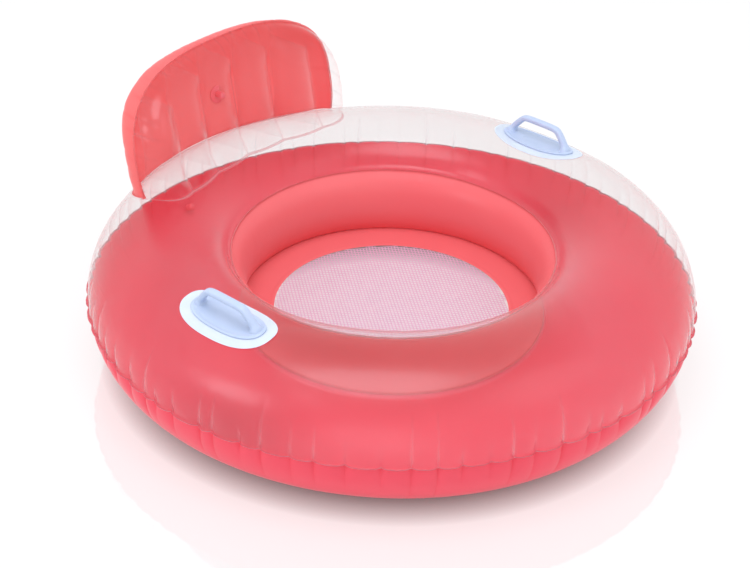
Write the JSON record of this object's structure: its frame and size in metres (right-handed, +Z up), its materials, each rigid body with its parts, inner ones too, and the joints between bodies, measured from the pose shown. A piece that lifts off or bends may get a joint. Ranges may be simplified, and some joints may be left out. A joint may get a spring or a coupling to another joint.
{
  "type": "inflatable ring lounge",
  "caption": "Round inflatable water lounge with a mesh seat, an upright ribbed air backrest and two moulded grab handles.",
  "frame": {"origin": "centre of the ring on the floor", "axes": "+Z up, the sitter faces -Y, the backrest stands at +Y, +X is the sitter's left-hand side"},
  "size_m": [1.198, 1.198, 0.517],
  "materials": {
    "clear_vinyl": "glossy clear film",
    "coral_vinyl": "glossy translucent coral film",
    "seat_net": "white knitted mesh",
    "handle_vinyl": "satin moulded soft vinyl",
    "patch_vinyl": "satin vinyl patch",
    "valve_vinyl": "satin moulded soft vinyl"
  },
  "bodies": {
    "ring": {"ring_top_panel": "clear_vinyl", "ring_bottom_panel": "coral_vinyl", "ring_inner_wall": "coral_vinyl", "seat_band": "coral_vinyl", "handle_left_patch": "patch_vinyl", "handle_left_grip": "handle_vinyl", "handle_right_patch": "patch_vinyl", "handle_right_grip": "handle_vinyl", "ring_valve_flange": "valve_vinyl", "backrest_foot_front": "clear_vinyl", "backrest_foot_back": "coral_vinyl"},
    "seat": {"seat_mesh": "seat_net"},
    "backrest": {"backrest_front_panel": "clear_vinyl", "backrest_back_panel": "coral_vinyl", "backrest_rib_1": "clear_vinyl", "backrest_rib_2": "clear_vinyl", "backrest_rib_3": "clear_vinyl", "backrest_rib_4": "clear_vinyl", "backrest_rib_5": "clear_vinyl", "backrest_valve_flange": "valve_vinyl"},
    "ring_valve": {"ring_valve_stem": "valve_vinyl", "ring_valve_flap": "valve_vinyl", "ring_valve_tether": "valve_vinyl"},
    "ring_stopper": {"ring_valve_stopper": "valve_vinyl"},
    "backrest_valve": {"backrest_valve_stem": "valve_vinyl", "backrest_valve_flap": "valve_vinyl", "backrest_valve_tether": "valve_vinyl"},
    "backrest_stopper": {"backrest_valve_stopper": "valve_vinyl"}
  },
  "joints": [
    {"name": "seat_sag", "type": "slide", "parent": "ring", "child": "seat", "axis": [0, 0, -1], "range_m": [0, 0.05], "stiffness_N_per_m": 8000},
    {"name": "backrest_lean", "type": "hinge", "parent": "ring", "child": "backrest", "pos_m": [0, 0.45, 0.285], "axis": [-1, 0, 0], "range_deg": [-6, 12], "stiffness_Nm_per_rad": 60, "deforming": ["backrest_foot_front", "backrest_foot_back"]},
    {"name": "ring_valve_pop", "type": "slide", "parent": "ring", "child": "ring_valve", "axis": [0, 0.8967, -0.4426], "range_m": [0, 0.012]},
    {"name": "ring_stopper_pull", "type": "slide", "parent": "ring_valve", "child": "ring_stopper", "axis": [0, 0.8967, -0.4426], "range_m": [0, 0.012], "deforming": ["ring_valve_tether"]},
    {"name": "backrest_valve_pop", "type": "slide", "parent": "backrest", "child": "backrest_valve", "axis": [0.0595, 0.9832, -0.1726], "range_m": [0, 0.012]},
    {"name": "backrest_stopper_pull", "type": "slide", "parent": "backrest_valve", "child": "backrest_stopper", "axis": [0.0595, 0.9832, -0.1726], "range_m": [0, 0.012], "deforming": ["backrest_valve_tether"]}
  ]
}
